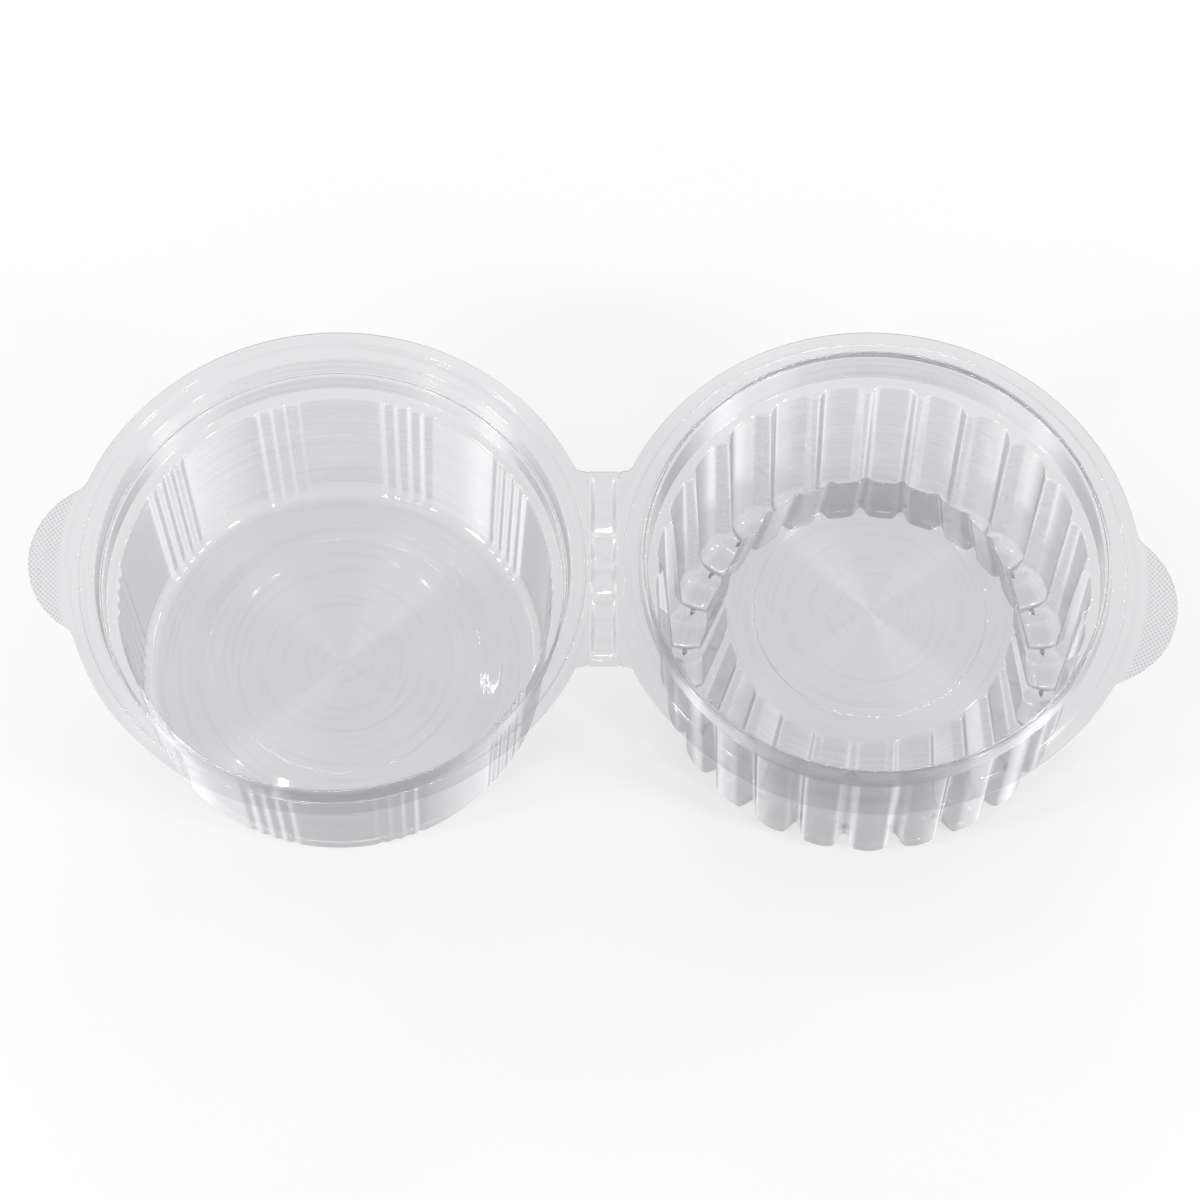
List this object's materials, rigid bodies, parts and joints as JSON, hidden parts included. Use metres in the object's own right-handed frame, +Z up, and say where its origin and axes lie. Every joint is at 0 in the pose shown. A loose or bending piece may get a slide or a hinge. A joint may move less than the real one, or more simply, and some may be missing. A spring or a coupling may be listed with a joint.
{
  "type": "clear plastic clamshell pack",
  "caption": "Round clear clamshell pack lying open: a deep tub with a seal recess and a fluted domed lid with a plug ring, joined by a living hinge, each with a pull tab.",
  "frame": {"origin": "on the table, below the middle of the hinge line of the open pack", "axes": "+X from the tub to the lid, +Y along the hinge line away from the viewer, +Z up out of both open halves"},
  "size_m": [0.2847, 0.132, 0.065],
  "materials": {
    "clear_pet": "clear, glossy"
  },
  "bodies": {
    "tub": {"tub": "clear_pet"},
    "lid": {"lid": "clear_pet"}
  },
  "joints": [
    {"name": "lid_hinge", "type": "hinge", "parent": "tub", "child": "lid", "pos_m": [0, 0, 0.06015], "axis": [0, -1, 0], "range_deg": [0, 180]}
  ]
}
